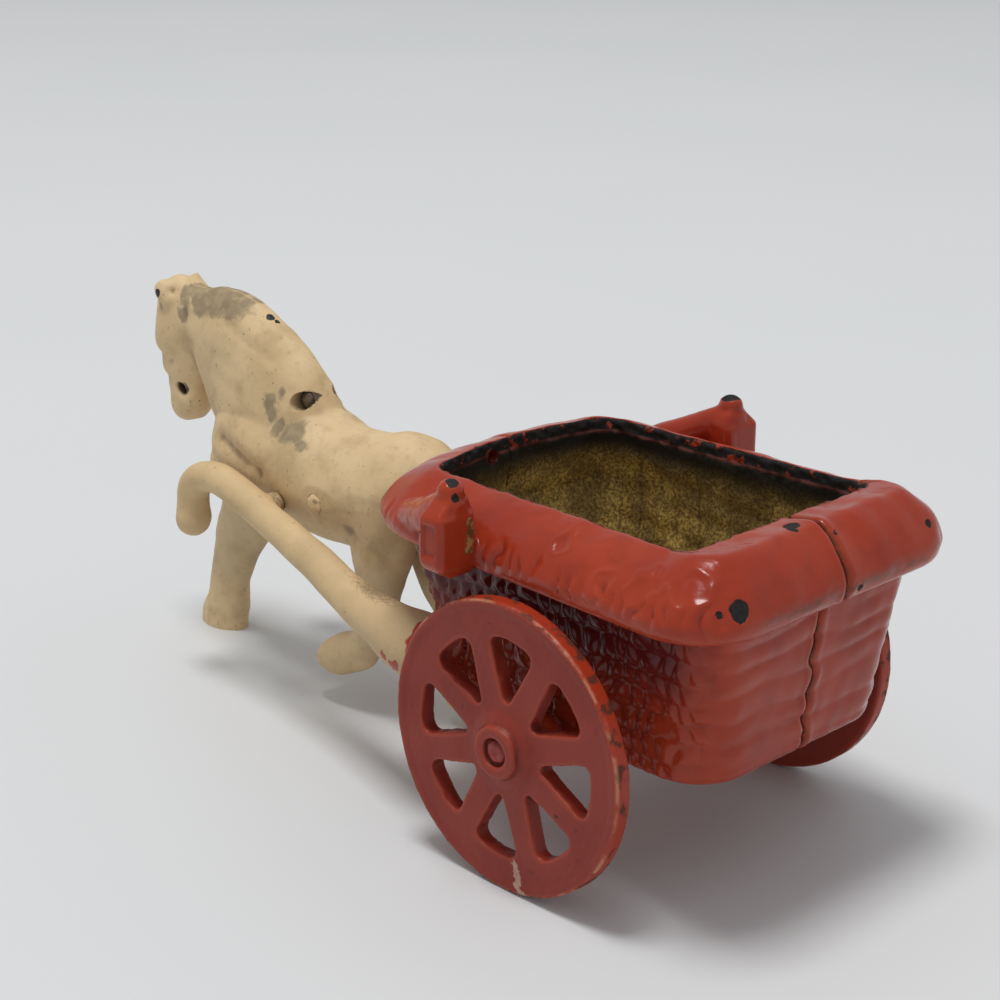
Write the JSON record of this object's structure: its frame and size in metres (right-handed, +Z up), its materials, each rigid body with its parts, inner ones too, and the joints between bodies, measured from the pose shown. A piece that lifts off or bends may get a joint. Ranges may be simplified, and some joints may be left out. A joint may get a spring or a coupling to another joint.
{
  "type": "cast iron toy horse carriage",
  "caption": "Old painted cast iron toy: a rigid trotting horse between the shafts of a two-wheeled tub cart with a rolled rim and side lamps; the spoked wheels roll.",
  "frame": {"origin": "on the ground below the middle of the whole toy", "axes": "+X from the cart towards the horse, +Y to the horse's left, +Z up"},
  "size_m": [0.2458, 0.1112, 0.1067],
  "materials": {
    "cart_iron": "chipped glossy red enamel over cast iron",
    "wheel_iron": "worn satin red enamel over cast iron",
    "horse_iron": "worn matt cream enamel over cast iron",
    "bare_steel": "dark worn steel",
    "cart_rivet_steel": "steel painted over in red",
    "horse_rivet_steel": "steel painted over in cream"
  },
  "bodies": {
    "horse_and_cart": {"cart_half_left": "cart_iron", "cart_half_right": "cart_iron", "cart_rivet_front": "cart_rivet_steel", "cart_rivet_floor_front": "cart_rivet_steel", "cart_rivet_floor_rear": "cart_rivet_steel", "horse_half_left": "horse_iron", "horse_half_right": "horse_iron", "horse_rivet_withers": "horse_rivet_steel", "horse_rivet_flank": "horse_rivet_steel", "horse_cross_pin": "bare_steel"},
    "axle": {"axle": "bare_steel"},
    "wheel_left": {"wheel_left": "wheel_iron"},
    "wheel_right": {"wheel_right": "wheel_iron"}
  },
  "joints": [
    {"name": "axle_spin", "type": "hinge", "parent": "horse_and_cart", "child": "axle", "pos_m": [-0.06691, 0, 0.035], "axis": [0, 1, 0], "continuous": true},
    {"name": "wheel_left_spin", "type": "hinge", "parent": "axle", "child": "wheel_left", "pos_m": [-0.06691, 0.0471, 0.035], "axis": [0, 1, 0], "continuous": true},
    {"name": "wheel_right_spin", "type": "hinge", "parent": "axle", "child": "wheel_right", "pos_m": [-0.06691, -0.0471, 0.035], "axis": [0, 1, 0], "continuous": true}
  ]
}
